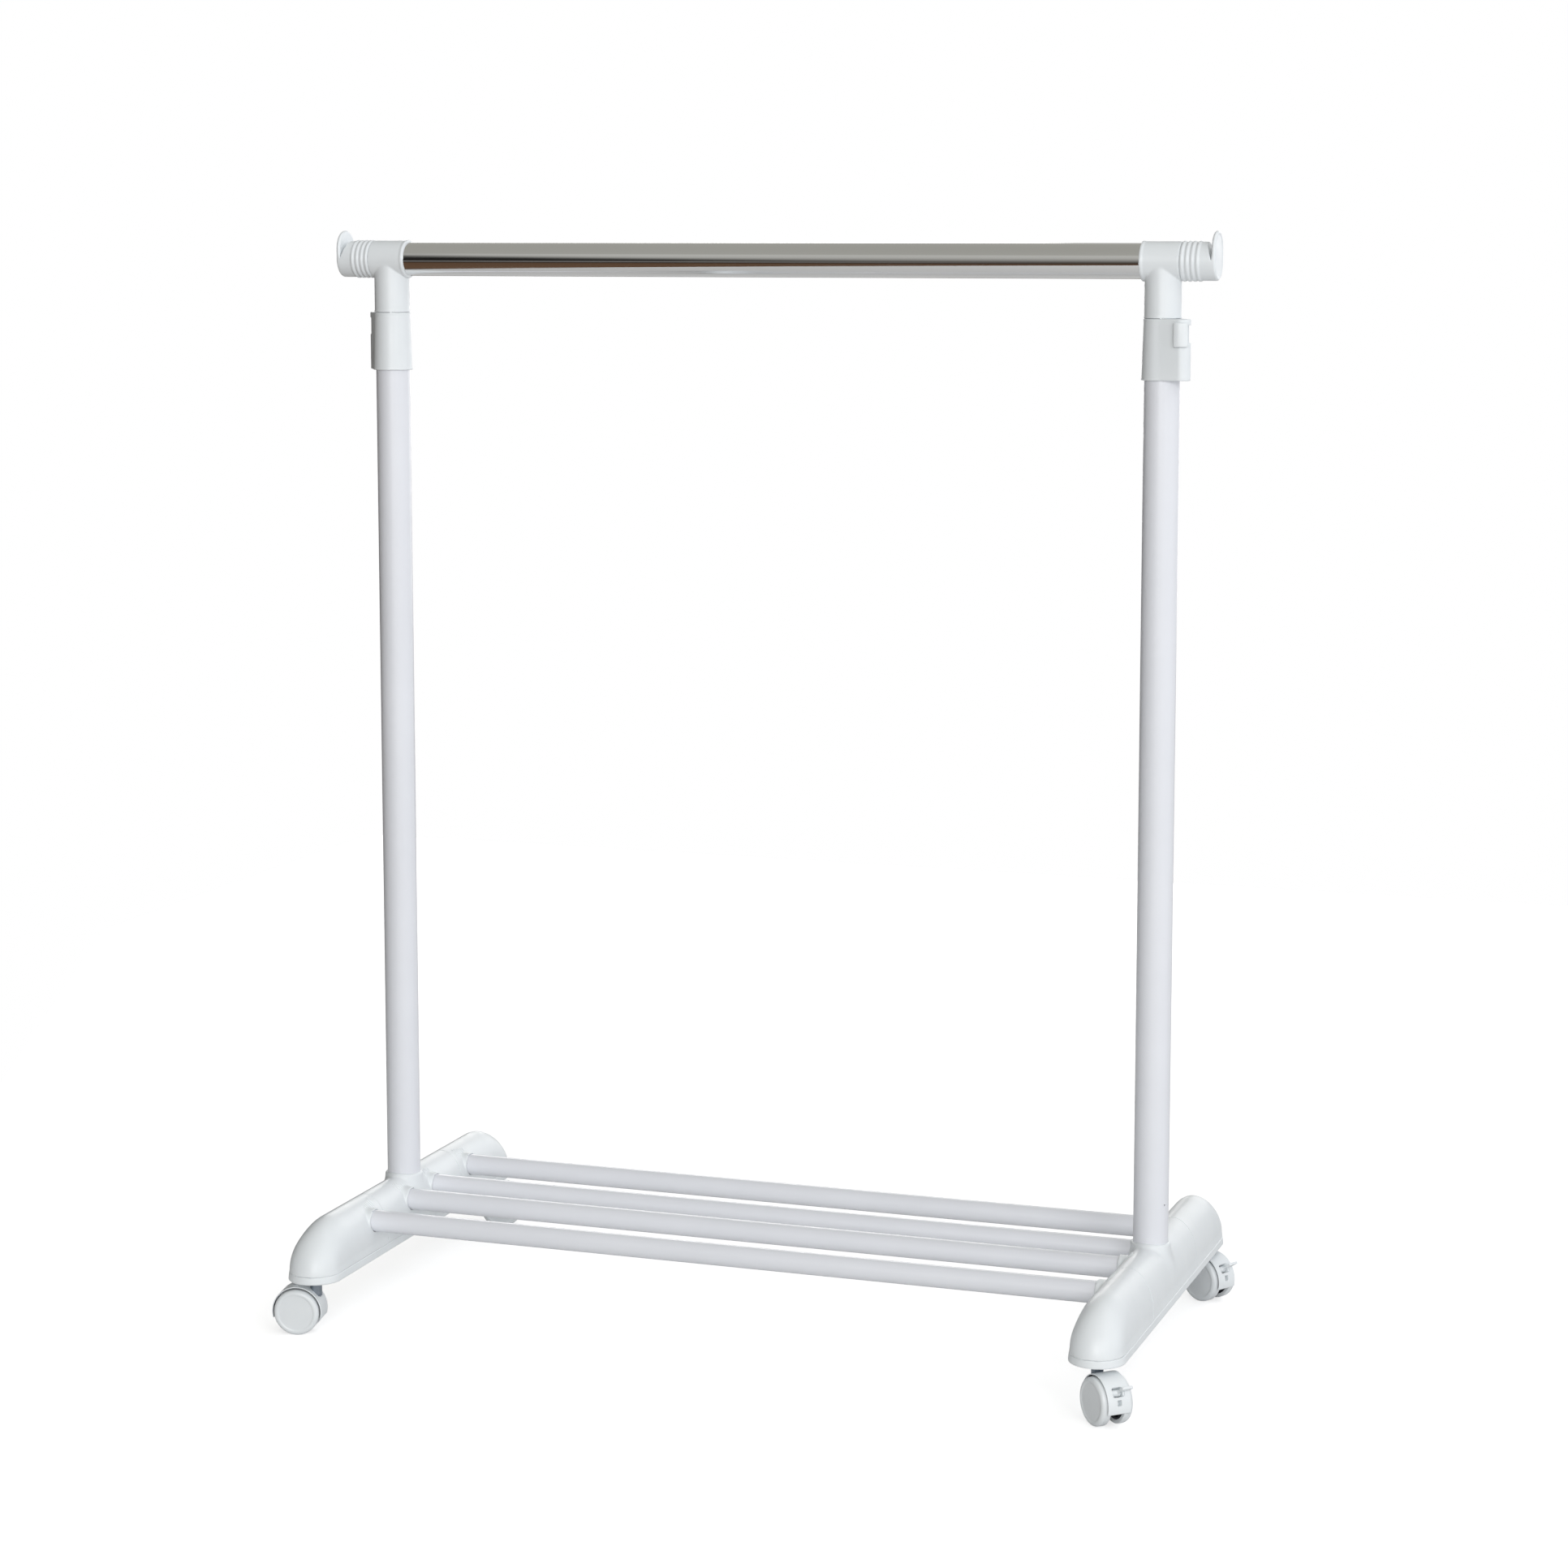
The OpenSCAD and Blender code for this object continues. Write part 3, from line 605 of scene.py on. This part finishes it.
def cap_distance(x, y, z):
    ring = np.hypot(y, z)
    d = smooth_max(ring - cap_r, slab(x, tee_out + 0.1, disc_x + 1), 0.6)
    for k in range(ring_count):
        centre = tee_out + ring_r + ring_pitch * k
        d = smooth_min(d, np.hypot(ring - cap_r + ring_sink, x - centre) - ring_r, 0.35)
    slope = notch_w / notch_depth
    wedge = (disc_x - x) - slope * (z - cap_r + notch_depth)
    d = smooth_max(d, -np.maximum(wedge / math.hypot(1, slope), x - disc_x), 0.4)
    oval = np.hypot(y, z - np.clip(z, 0, disc_rise)) - cap_r
    disc = smooth_max(oval, slab(x, disc_x, cap_end), disc_edge)
    dish = smooth_max(oval + dish_rim, cap_end - dish_depth - x, 0.5)
    disc = smooth_max(disc, -dish, 0.8)
    return smooth_min(d, disc, 0.5)


def build_fittings():
    across = graded(-sleeve_r - 2, sleeve_r + 2, 0.8)
    tee = surface(tee_distance, graded(-tee_in - 1.5, tee_out + 1.5, 0.8), across,
                  graded(leg_end - 1.5, sleeve_r + 2, 0.8))
    cap = surface(cap_distance, graded(tee_out - 1, cap_end + 1.5, 0.6), graded(-cap_r - 2, cap_r + 2, 0.75),
                  graded(-cap_r - 2, cap_r + disc_rise + 2, 0.75))
    for side, s in SIDES.items():
        origin = (s * post_x, 0, rail_z)
        left = side == "left"
        piece(f"{side}_tee_fitting", to_world(tee, origin, flip_x=left), "upper_frame",
              white_plastic, [f"{side}_tee"])
        piece(f"{side}_ribbed_cap", to_world(cap, origin, flip_x=left), "upper_frame",
              white_plastic, [f"{side}_end_cap"])


# ---------- lock collars and clamp levers; +X points to the lever's housing ----------

pin = JOINTS["right_lever_hinge"]["pos_m"]
pin_out = math.hypot(pin[0] / MM - post_x, pin[1] / MM)
housing_turn = math.degrees(math.atan2(pin[1] / MM, pin[0] / MM - post_x))
collar_r_low = post_r + 2.1
collar_r_top = post_r + 0.7
housing_r = 8
lip_h = 4.9
slot_h = 14.5
slot_high = collar_h - lip_h
slot_low = slot_high - slot_h
pocket_h = 22
pocket_wall = 2
collar_hem = 1.5
channel_half = 3.9
cam_r = 5.2
cam_offset = 0.35
arm_half = 2
pin_hole_r = 1.6
slot_start = 23
cam_room = 5.9
inner_r = half_width("right_inner_tube", 0)
lever_turn = -49
paddle_in = 8.7
paddle_out = 11.2
paddle_reach = math.radians(35)
paddle_low, paddle_high = (z - collar_z for z in span("right_clamp_lever", 2))


def drop_outline(x, y, r_start, r_end, length):
    """Distance to the hull of a circle about the origin and a smaller one along +X."""
    lean = (r_start - r_end) / length
    rise = np.sqrt(1 - lean * lean)
    side = np.abs(y)
    place = rise * x - lean * side
    flank = rise * side + lean * x - r_start
    near, far = np.hypot(side, x) - r_start, np.hypot(side, x - length) - r_end
    return np.where(place < 0, near, np.where(place > rise * length, far, flank))


def collar_distance(x, y, z):
    taper = collar_r_low + (collar_r_top - collar_r_low) * z / collar_h
    round_part = np.hypot(x, y)
    body = smooth_max(round_part - taper, slab(z, 0, collar_h - rest_gap), 0.9)
    for low in (0, collar_h - collar_hem):
        hem = smooth_max(round_part - taper - hem_out, slab(z, low, low + collar_hem - rest_gap), 0.6)
        body = smooth_min(body, hem, 0.5)
    housing = smooth_max(drop_outline(x, y, taper, housing_r, pin_out), slab(z, 0, collar_h), 1.0)
    slot = np.minimum(slot_start - x, np.hypot(x - pin_out, y) - cam_room)
    slot = np.maximum(slab(z, slot_low, slot_high), slot)
    housing = smooth_max(housing, -slot, 0.6)
    pocket = np.maximum(np.hypot(x - pin_out, y) - housing_r + pocket_wall, z - pocket_h)
    housing = smooth_max(housing, -pocket, 0.5)
    d = smooth_min(body, housing, 0.6)
    pad_channel = np.maximum(np.abs(y) - channel_half, slab(z, slot_low, slot_high))
    pad_channel = np.maximum(pad_channel, slab(x, 0, pin_out))
    return np.maximum(np.maximum(d, inner_r + 0.4 - round_part), -pad_channel)


def lever_distance(x, y, z):
    cam = smooth_max(np.hypot(x + cam_offset, y) - cam_r, slab(z, slot_low + 0.4, slot_high - 0.4), 0.8)
    r = np.hypot(x, y)
    angle = np.arctan2(y, x) - math.radians(lever_turn)
    arm_x, arm_y = r * np.cos(angle), r * np.sin(angle)
    arm = smooth_max(np.abs(arm_y) - arm_half, slab(arm_x, 0, paddle_out - 0.8), 0.8)
    arm = smooth_max(arm, slab(z, slot_low + 0.7, slot_high - 0.7), 0.8)
    edge = r * (np.abs(angle) - paddle_reach)
    paddle = smooth_max(slab(r, paddle_in, paddle_out), edge, 1.2)
    paddle = smooth_max(paddle, slab(z, paddle_low, paddle_high), 1.2)
    d = smooth_min(smooth_min(cam, arm, 1.5), paddle, 1.2)
    return np.maximum(d, pin_hole_r - r)


def build_clamps():
    collar = surface(collar_distance, graded(-collar_r_low - 2, pin_out + housing_r + 2, 0.8),
                     graded(-collar_r_low - 2, collar_r_low + 2, 0.8), graded(-1.5, collar_h + 1.5, 0.7))
    reach = paddle_out + 1.5
    lever = surface(lever_distance, graded(-7, reach, 0.5), graded(-reach, 7, 0.5),
                    graded(paddle_low - 1, paddle_high + 1, 0.55))
    for side, s in SIDES.items():
        turn = housing_turn + (180 if s < 0 else 0)
        piece(f"{side}_collar_moulding", to_world(collar, (s * post_x, 0, collar_z), turn), "base",
              white_plastic, [f"{side}_lock_collar"])
        at = JOINTS[f"{side}_lever_hinge"]["pos_m"]
        piece(f"{side}_lever_moulding", to_world(lever, (at[0] / MM, at[1] / MM, collar_z), turn),
              f"{side}_lever", white_plastic, [f"{side}_clamp_lever"])


# ---------- casters; +X trails, Y is the axle's direction and the axle is at x = z = 0 ----------

hood_r = wheel_r + 2.2  # 0.2 more than the node that it replaces, for a wider gap round the wheel
hood_wall = 0.9
hood_half = 10.5
web_half = 5.6
hood_low = 14 - wheel_r
wheel_in = 6.2
wheel_out = 14.5
slot_angle = math.radians(34)
window_angle = math.radians(9)
brake_pivot = 16.4
bearing_r = 1.85
bearing_half = 5.3
recess_low = 0.6
recess_half = (5.6, 4)
pocket_half = (4.25, 3.9)
window_half = (1.9, 2.4)
brake_pin_r = 1.5
brake_hub_r = 3
brake_hub_half = 3.9
arm_end = 13
tab_middle = (10.5, 5.7)
tab_half = (3.5, 4.9)
plate_half = 0.9
wheel_edge = 3.3
dish_r = 14.8
back_edge = 0.7
shell_r = 16.7
# thickness of the dark strip of painted shade inside each hood
shade_sheet_t = 0.3


def rounded_rectangle(a, b, half_a, half_b, corner):
    """Distance to a rectangle with round corners, centred on zero."""
    qa, qb = np.abs(a) - half_a + corner, np.abs(b) - half_b + corner
    outside = np.hypot(np.maximum(qa, 0), np.maximum(qb, 0))
    return outside + np.minimum(np.maximum(qa, qb), 0) - corner


def hood_distance(braked):
    cos_slot, sin_slot = math.cos(slot_angle), math.sin(slot_angle)

    def distance(x, y, z):
        ring = np.hypot(x, z)
        shell = smooth_max(slab(ring, hood_r - hood_wall, hood_r), np.abs(y) - hood_half, 0.4)
        shell = smooth_max(shell, hood_low - z, 0.7)
        web = np.maximum(np.maximum(ring - hood_r + 0.6, np.abs(y) - web_half), hood_low + 1 - z)
        boss = smooth_max(ring - 5, np.abs(y) - web_half, 0.5)
        d = smooth_min(smooth_min(shell, web, 0.8), boss, 1)
        if not braked:
            return d
        out = x * cos_slot + z * sin_slot
        up = z * cos_slot - x * sin_slot
        recess = rounded_rectangle(y, up + recess_low, *recess_half, 2.4)
        floor = np.maximum(recess - 0.6, -out)
        floor = np.maximum(floor, slab(ring, wheel_r + 0.35, hood_r - hood_wall + 0.1))
        d = np.minimum(d, floor)
        d = smooth_max(d, -np.maximum(recess, hood_r - 0.95 - ring - np.minimum(out, 0)), 0.5)
        pocket = rounded_rectangle(y, up + recess_low, *pocket_half, 0.8)
        d = smooth_max(d, -np.maximum(pocket, brake_pivot - 4.6 - out), 0.4)
        bearing = np.maximum(np.hypot(out - brake_pivot, up) - bearing_r, np.abs(y) - bearing_half)
        d = np.maximum(d, -bearing)
        window = rounded_rectangle(y, hood_r * (np.arctan2(z, x) - window_angle), *window_half, 0.7)
        return smooth_max(d, -np.maximum(window, 17 - ring), 0.4)
    return distance


def brake_distance(x, y, z):
    """The brake's lever about its pivot, before it is tilted up to the slot; Y is the axle's direction."""
    hub = smooth_max(np.hypot(x, z) - brake_hub_r, np.abs(y) - brake_hub_half, 0.5)
    pins = smooth_max(np.hypot(x, z) - brake_pin_r, np.abs(y) - bearing_half + 0.3, 0.3)
    section = np.maximum(np.abs(z) - plate_half, slab(y, 0.8, brake_hub_half))
    arm = smooth_max(slab(x, 0, arm_end), section, 0.3)
    tab = rounded_rectangle(x - tab_middle[0], y - tab_middle[1], *tab_half, 1.6)
    lip = plate_half + 0.35 * np.clip((x - arm_end + 1) / 2, 0, 1)
    tab = smooth_max(tab, np.abs(z) - lip, 0.6)
    return smooth_min(smooth_min(hub, pins, 0.3), smooth_min(arm, tab, 0.8), 0.8)


def wheel_profile():
    """One wheel's section as (radius, y), from the middle of its face to the middle of its inside."""
    face = wheel_out
    points = [(r, face - 0.55 + 0.1 * (1 - (r / 15) ** 2)) for r in (0, 3, 6, 9, 12, dish_r)]
    points += [(dish_r + 0.5, face - 0.5), (dish_r + 1, face - 0.22), (dish_r + 1.5, face - 0.04)]
    points += arc((wheel_r - wheel_edge, face - wheel_edge), wheel_edge, 90, 0, 12)
    points += arc((wheel_r - back_edge, wheel_in + back_edge), back_edge, 0, -90, 4)
    points += arc((shell_r + 0.4, wheel_in + 0.4), 0.4, 270, 180, 4)
    points += [(shell_r, wheel_out - 2), (0, wheel_out - 2)]
    return points


def shade_sheet(inner, outer, low, high, drop, steps=72):
    """A thin dark curved strip under the hood's shell, open at the bottom, between two places along the
    axle: painted shade, standing for the shadow inside the hood round the wheel.
    """
    angles = np.linspace(-drop, math.pi + drop, steps + 1)
    points = [(r * math.cos(a), y, r * math.sin(a)) for a in angles
              for r, y in ((inner, low), (outer, low), (outer, high), (inner, high))]
    faces = [[4 * i + k, 4 * i + (k + 1) % 4, 4 * i + 4 + (k + 1) % 4, 4 * i + 4 + k]
             for i in range(steps) for k in range(4)]
    faces += [[3, 2, 1, 0], [4 * steps + k for k in range(4)]]
    return np.array(points), faces


def build_casters():
    spans = (graded(-hood_r - 1.5, hood_r + 1.5, 0.55), graded(-hood_half - 1.5, hood_half + 1.5, 0.55),
             graded(hood_low - 1.5, hood_r + 1.5, 0.55))
    hoods = {braked: surface(hood_distance(braked), *spans) for braked in (False, True)}
    brake = surface(brake_distance, graded(-4, 15.5, 0.45), graded(-6, 11.7, 0.45), graded(-4, 4, 0.45))
    points = brake[0]
    along, up = points[:, 0].copy(), points[:, 2].copy()
    points[:, 0] = along * math.cos(slot_angle) - up * math.sin(slot_angle)
    points[:, 2] = along * math.sin(slot_angle) + up * math.cos(slot_angle)
    wheel = lathe(wheel_profile())
    # a dark strip of painted shade inside the hood, just under its shell
    inner = hood_r - hood_wall - 0.25
    drop = math.asin((0.5 - hood_low) / inner) - 0.05
    inside = shade_sheet(inner, inner + shade_sheet_t, web_half + 0.8, hood_half - 0.7, drop)
    for end in ENDS:
        roller = JOINTS[f"{end}_roller_1_hinge"]
        ax, ay, _ = roller["axis"]
        turn = math.degrees(math.atan2(-ax, ay))
        centre = [v / MM for v in roller["pos_m"]]
        braked = f"{end}_brake_hinge" in JOINTS
        piece(f"{end}_hood_moulding", to_world(hoods[braked], centre, turn), f"{end}_swivel",
              white_plastic, [f"{end}_hood"])
        for w in (1, 2):
            # painted shade: a dark strip inside the hood, where the gap round the wheel is in shadow
            piece(f"{end}_hood_shade_sheet_{w}", to_world(inside, centre, turn, flip_y=w == 2),
                  f"{end}_swivel", black)
            piece(f"{end}_wheel_shell_{w}", to_world(wheel, centre, turn, flip_y=w == 2),
                  f"{end}_roller_{w}", wheel_plastic, [f"{end}_wheel_{w}"])
        if braked:
            pivot = [v / MM for v in JOINTS[f"{end}_brake_hinge"]["pos_m"]]
            piece(f"{end}_brake_moulding", to_world(brake, pivot, turn), f"{end}_brake_lever",
                  white_plastic, [f"{end}_brake"])


# ---------- CAD nodes that keep their shape ----------

KEPT = {
    "hanging_rail": rail_chrome,
    "left_inner_tube": tube_chrome, "right_inner_tube": tube_chrome,
    "left_post": tube_paint, "right_post": tube_paint,
    "front_crossbar": tube_paint, "front_inner_crossbar": tube_paint,
    "rear_inner_crossbar": tube_paint, "rear_crossbar": tube_paint,
    "lever_pins": steel, "foot_screws": steel,
    "lock_pads": black, "caster_sockets": black,
    "collar_bushes": white_plastic, "inner_tube_guides": white_plastic,
}
for end in ENDS:
    KEPT.update({f"{end}_stem": steel, f"{end}_axle": steel})
    KEPT.update({f"{end}_core_{w}": black for w in (1, 2)})


def paint_kept_nodes():
    for name, material in KEPT.items():
        mesh = frame["nodes"][name].data
        mesh.materials.clear()
        mesh.materials.append(material)


# ---------- floor, light and camera ----------

# the paper's left front corner is cut off, so that the rail's underside reflects its edge at a slant
PAPER = [(-1.45, 1.36), (-0.1, -1.88), (2.2, -1.88), (2.2, 2.2), (-1.45, 2.2)]


def build_floor():
    """A sheet of pale paper under the rack, lit a little more where the camera looks at it."""
    mesh = bpy.data.meshes.new("floor")
    mesh.from_pydata([(x, y, 0) for x, y in PAPER], [], [list(range(len(PAPER)))])
    nodes = Nodes("floor")
    nodes.set(Roughness=0.9, Specular_IOR_Level=0.1)
    nodes.to_shader(nodes.ramp(nodes.noise(3, 2), [(0.3, 0.67), (0.7, 0.69)]), "Base Color")
    nodes.set(Emission_Color=(1, 1, 1, 1))
    seen = nodes.tree.nodes.new("ShaderNodeLightPath").outputs["Is Camera Ray"]
    lift = nodes.tree.nodes.new("ShaderNodeMapRange")
    lift.inputs["To Min"].default_value = 0.04
    lift.inputs["To Max"].default_value = 0.6
    nodes.link(seen, lift.inputs["Value"])
    nodes.to_shader(lift.outputs["Result"], "Emission Strength")
    mesh.materials.append(nodes.material)
    floor = bpy.data.objects.new("floor", mesh)
    bpy.context.scene.collection.objects.link(floor)


def area_light(name, at, target, side, power):
    data = bpy.data.lights.new(name, "AREA")
    data.shape = "RECTANGLE"
    data.size = data.size_y = side
    data.energy = power
    light = bpy.data.objects.new(name, data)
    light.location = at
    light.rotation_euler = (Vector(target) - Vector(at)).to_track_quat("-Z", "Y").to_euler()
    bpy.context.scene.collection.objects.link(light)
    light.visible_camera = False


def build_world():
    """White to the camera. To the rack it is a studio: bright to the right, dark and brown to the left."""
    world = bpy.data.worlds.new("studio")
    bpy.context.scene.world = world
    world.use_nodes = True
    tree = world.node_tree
    new, link = tree.nodes.new, tree.links.new

    def ranged(value, start, end, low=0.0, high=1.0):
        node = new("ShaderNodeMapRange")
        node.interpolation_type = "SMOOTHSTEP"
        for key, v in (("From Min", start), ("From Max", end), ("To Min", low), ("To Max", high)):
            node.inputs[key].default_value = v
        link(value, node.inputs["Value"])
        return node.outputs["Result"]

    def by_height(stops):
        """A ramp over the direction's Z, from -1 to 1."""
        node = new("ShaderNodeMapRange")
        node.inputs["From Min"].default_value = -1
        link(split.outputs["Z"], node.inputs["Value"])
        ramp = new("ShaderNodeValToRGB")
        elements = ramp.color_ramp.elements
        while len(elements) < len(stops):
            elements.new(0.5)
        for element, (z, colour) in zip(elements, stops):
            element.position, element.color = (z + 1) / 2, (*colour, 1)
        link(node.outputs["Result"], ramp.inputs["Fac"])
        return ramp.outputs["Color"]

    def mixed(factor, a, b):
        node = new("ShaderNodeMix")
        node.data_type = "RGBA"
        link(factor, node.inputs["Factor"])
        for key, v in (("A", a), ("B", b)):
            if isinstance(v, tuple):
                node.inputs[key].default_value = (*v, 1)
            else:
                link(v, node.inputs[key])
        return node.outputs["Result"]

    split = new("ShaderNodeSeparateXYZ")
    link(new("ShaderNodeTexCoord").outputs["Generated"], split.inputs[0])
    brown = [(-1, (0.02, 0.016, 0.012)), (-0.88, (0.01, 0.008, 0.006)), (-0.82, (0.13, 0.075, 0.045)),
             (-0.4, (0.11, 0.065, 0.04))]
    open_room = by_height(brown + [
        (-0.28, (0.05, 0.035, 0.025)), (-0.14, (0.12, 0.11, 0.10)), (0, (0.24, 0.235, 0.22)),
        (0.26, (0.45, 0.445, 0.42)), (0.5, (0.52, 0.515, 0.49)), (0.6, (0.4, 0.395, 0.365)),
        (1, (0.38, 0.375, 0.345))])
    dark_side = by_height(brown + [
        (-0.3, (0.02, 0.015, 0.012)), (-0.2, (0.22, 0.21, 0.2)), (-0.12, (0.012, 0.011, 0.01)),
        (0.45, (0.012, 0.012, 0.012)), (1, (0.22, 0.22, 0.22))])
    lean = new("ShaderNodeMath")
    lean.operation = "MULTIPLY_ADD"
    link(split.outputs["X"], lean.inputs[0])
    lean.inputs[1].default_value = 4.4
    link(split.outputs["Z"], lean.inputs[2])
    left = mixed(ranged(lean.outputs[0], -1.7, -1.3, 1, 0), open_room, dark_side)
    room = mixed(ranged(split.outputs["X"], -0.05, 0.65), left, (0.84, 0.85, 0.875))
    seen = new("ShaderNodeLightPath").outputs["Is Camera Ray"]
    link(mixed(seen, room, (1.0, 1.0, 1.0)), tree.nodes["Background"].inputs["Color"])


def build_lights():
    middle_of_rack = (0, 0, 0.45)
    area_light("key", (2.4, -2.8, 1.6), middle_of_rack, 1.2, 20)
    area_light("front_fill", (0.7, -4.1, 1.6), middle_of_rack, 1.6, 61)
    area_light("top", (1.7, 0.3, 3.2), (0, 0, 0.3), 2.4, 8)
    area_light("back_fill", (0.6, 3.5, 1.2), middle_of_rack, 2, 20)
    area_light("back_left_fill", (-1.5, 3.4, 1.3), middle_of_rack, 1.6, 22)


def build_camera():
    data = bpy.data.cameras.new("camera")
    data.sensor_width = 36
    data.lens = 82.47
    data.shift_y = -0.06
    data.clip_start, data.clip_end = 0.1, 100
    camera = bpy.data.objects.new("camera", data)
    camera.location = (1.0407, -2.9241, 0.9556)
    yaw, pitch = math.radians(19.262), math.radians(7.279)
    camera.rotation_euler = (math.pi / 2 - pitch, 0, yaw)
    bpy.context.scene.collection.objects.link(camera)
    bpy.context.scene.camera = camera


build_camera()
build_floor()
build_world()
build_lights()
build_feet()
build_fittings()
build_clamps()
build_casters()
paint_kept_nodes()
bpy.context.scene.view_settings.view_transform = "Standard"
